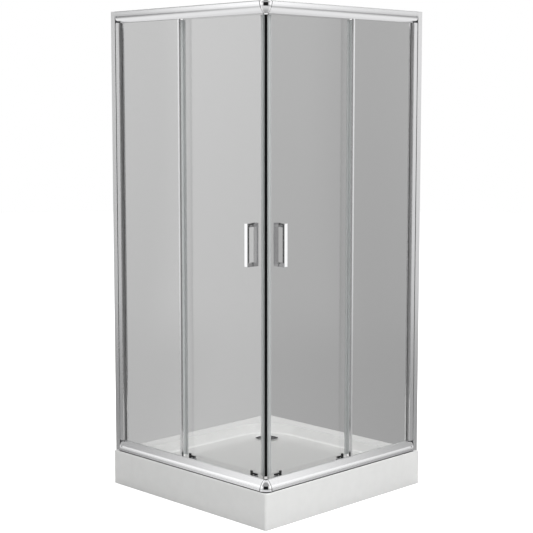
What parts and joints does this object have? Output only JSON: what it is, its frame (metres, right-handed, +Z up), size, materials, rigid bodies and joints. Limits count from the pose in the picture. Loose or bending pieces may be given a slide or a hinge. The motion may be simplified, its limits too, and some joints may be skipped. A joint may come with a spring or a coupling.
{
  "type": "shower enclosure",
  "caption": "Corner-entry shower enclosure: square tray, chrome-look frame, fixed glass panels and sliding glass doors that meet at the front corner.",
  "frame": {"origin": "on the floor, under the middle of the tray", "axes": "+Z up; the glass sides are at -Y and +X and meet at the front corner; the walls are at -X and +Y"},
  "size_m": [0.9, 0.9, 1.94],
  "materials": {
    "sanitary_acrylic": "smooth gloss, vacuum-formed acrylic",
    "board": "raw chipboard",
    "zinc_steel": "zinc plated",
    "foot_rubber": "matte",
    "seal_rubber": "matte",
    "stop_rubber": "matte",
    "waste_plastic": "moulded polypropylene",
    "chrome_cover": "chrome plated",
    "corner_metal": "bright polished",
    "chrome_cap": "mirror chrome plated",
    "connector_plastic": "moulded nylon",
    "black_gasket": "extruded, satin",
    "polished_profile": "bright polished extrusion",
    "safety_glass": "clear toughened glass",
    "clear_seal": "clear soft PVC",
    "magnet_black": "satin magnetic rubber",
    "chrome_handle": "mirror chrome plated",
    "chrome_bolt": "chrome plated",
    "black_plastic": "moulded, fine grain",
    "wheel_plastic": "turned acetal",
    "spring_steel": "drawn wire"
  },
  "bodies": {
    "frame": {"tray_shell": "sanitary_acrylic", "tray_board": "board", "tray_foot_studs": "zinc_steel", "tray_foot_pads": "foot_rubber", "waste_flange": "waste_plastic", "waste_seal": "seal_rubber", "trap_body": "waste_plastic", "frame_screws": "zinc_steel", "corner_blocks": "corner_metal", "corner_caps": "chrome_cap", "rail_end_blocks": "connector_plastic", "fixed_gaskets": "black_gasket", "fixed_edge_profiles": "polished_profile", "door_stops": "stop_rubber", "wall_profile_left": "polished_profile", "side_profile_left": "polished_profile", "top_rail_left": "polished_profile", "bottom_rail_left": "polished_profile", "fixed_glass_left": "safety_glass", "wall_profile_right": "polished_profile", "side_profile_right": "polished_profile", "top_rail_right": "polished_profile", "bottom_rail_right": "polished_profile", "fixed_glass_right": "safety_glass"},
    "waste_insert": {"drain_cover": "chrome_cover", "trap_cup": "waste_plastic"},
    "left_door": {"door_glass_left": "safety_glass", "magnet_profile_left": "clear_seal", "magnet_strip_left": "magnet_black", "rear_seal_left": "clear_seal", "handle_outer_left": "chrome_handle", "handle_inner_left": "chrome_handle", "door_bolts_left": "chrome_bolt", "top_carriers_left": "chrome_bolt", "bottom_housings_left": "black_plastic", "release_spring_front_left": "spring_steel", "release_spring_rear_left": "spring_steel"},
    "left_top_wheel_front": {"top_wheel_front_left": "wheel_plastic"},
    "left_release_front": {"release_slider_front_left": "black_plastic"},
    "left_bottom_wheel_front": {"bottom_wheel_front_left": "wheel_plastic"},
    "left_top_wheel_rear": {"top_wheel_rear_left": "wheel_plastic"},
    "left_release_rear": {"release_slider_rear_left": "black_plastic"},
    "left_bottom_wheel_rear": {"bottom_wheel_rear_left": "wheel_plastic"},
    "right_door": {"door_glass_right": "safety_glass", "magnet_profile_right": "clear_seal", "magnet_strip_right": "magnet_black", "rear_seal_right": "clear_seal", "handle_outer_right": "chrome_handle", "handle_inner_right": "chrome_handle", "door_bolts_right": "chrome_bolt", "top_carriers_right": "chrome_bolt", "bottom_housings_right": "black_plastic", "release_spring_front_right": "spring_steel", "release_spring_rear_right": "spring_steel"},
    "right_top_wheel_front": {"top_wheel_front_right": "wheel_plastic"},
    "right_release_front": {"release_slider_front_right": "black_plastic"},
    "right_bottom_wheel_front": {"bottom_wheel_front_right": "wheel_plastic"},
    "right_top_wheel_rear": {"top_wheel_rear_right": "wheel_plastic"},
    "right_release_rear": {"release_slider_rear_right": "black_plastic"},
    "right_bottom_wheel_rear": {"bottom_wheel_rear_right": "wheel_plastic"}
  },
  "joints": [
    {"name": "waste_lift", "type": "slide", "parent": "frame", "child": "waste_insert", "axis": [0, 0, 1], "range_m": [0, 0.12]},
    {"name": "left_door_slide", "type": "slide", "parent": "frame", "child": "left_door", "axis": [-1, 0, 0], "range_m": [0, 0.34]},
    {"name": "left_top_wheel_front_spin", "type": "hinge", "parent": "left_door", "child": "left_top_wheel_front", "pos_m": [0.34, -0.411, 1.9195], "axis": [0, 1, 0], "continuous": true},
    {"name": "left_release_front_press", "type": "slide", "parent": "left_door", "child": "left_release_front", "axis": [0, 0, -1], "range_m": [0, 0.006], "stiffness_N_per_m": 400, "springref_m": -0.004, "deforming": ["release_spring_front_left"]},
    {"name": "left_bottom_wheel_front_spin", "type": "hinge", "parent": "left_release_front", "child": "left_bottom_wheel_front", "pos_m": [0.34, -0.411, 0.1605], "axis": [0, 1, 0], "continuous": true},
    {"name": "left_top_wheel_rear_spin", "type": "hinge", "parent": "left_door", "child": "left_top_wheel_rear", "pos_m": [-0.009, -0.411, 1.9195], "axis": [0, 1, 0], "continuous": true},
    {"name": "left_release_rear_press", "type": "slide", "parent": "left_door", "child": "left_release_rear", "axis": [0, 0, -1], "range_m": [0, 0.006], "stiffness_N_per_m": 400, "springref_m": -0.004, "deforming": ["release_spring_rear_left"]},
    {"name": "left_bottom_wheel_rear_spin", "type": "hinge", "parent": "left_release_rear", "child": "left_bottom_wheel_rear", "pos_m": [-0.009, -0.411, 0.1605], "axis": [0, 1, 0], "continuous": true},
    {"name": "right_door_slide", "type": "slide", "parent": "frame", "child": "right_door", "axis": [0, 1, 0], "range_m": [0, 0.34]},
    {"name": "right_top_wheel_front_spin", "type": "hinge", "parent": "right_door", "child": "right_top_wheel_front", "pos_m": [0.411, -0.34, 1.9195], "axis": [1, 0, 0], "continuous": true},
    {"name": "right_release_front_press", "type": "slide", "parent": "right_door", "child": "right_release_front", "axis": [0, 0, -1], "range_m": [0, 0.006], "stiffness_N_per_m": 400, "springref_m": -0.004, "deforming": ["release_spring_front_right"]},
    {"name": "right_bottom_wheel_front_spin", "type": "hinge", "parent": "right_release_front", "child": "right_bottom_wheel_front", "pos_m": [0.411, -0.34, 0.1605], "axis": [1, 0, 0], "continuous": true},
    {"name": "right_top_wheel_rear_spin", "type": "hinge", "parent": "right_door", "child": "right_top_wheel_rear", "pos_m": [0.411, 0.009, 1.9195], "axis": [1, 0, 0], "continuous": true},
    {"name": "right_release_rear_press", "type": "slide", "parent": "right_door", "child": "right_release_rear", "axis": [0, 0, -1], "range_m": [0, 0.006], "stiffness_N_per_m": 400, "springref_m": -0.004, "deforming": ["release_spring_rear_right"]},
    {"name": "right_bottom_wheel_rear_spin", "type": "hinge", "parent": "right_release_rear", "child": "right_bottom_wheel_rear", "pos_m": [0.411, 0.009, 0.1605], "axis": [1, 0, 0], "continuous": true}
  ],
  "couplings": [
    {"joint": "left_top_wheel_front_spin", "follows": "left_door_slide", "rad_per_m": -105.26},
    {"joint": "left_bottom_wheel_front_spin", "follows": "left_door_slide", "rad_per_m": 105.26},
    {"joint": "left_top_wheel_rear_spin", "follows": "left_door_slide", "rad_per_m": -105.26},
    {"joint": "left_bottom_wheel_rear_spin", "follows": "left_door_slide", "rad_per_m": 105.26},
    {"joint": "right_top_wheel_front_spin", "follows": "right_door_slide", "rad_per_m": -105.26},
    {"joint": "right_bottom_wheel_front_spin", "follows": "right_door_slide", "rad_per_m": 105.26},
    {"joint": "right_top_wheel_rear_spin", "follows": "right_door_slide", "rad_per_m": -105.26},
    {"joint": "right_bottom_wheel_rear_spin", "follows": "right_door_slide", "rad_per_m": 105.26}
  ]
}
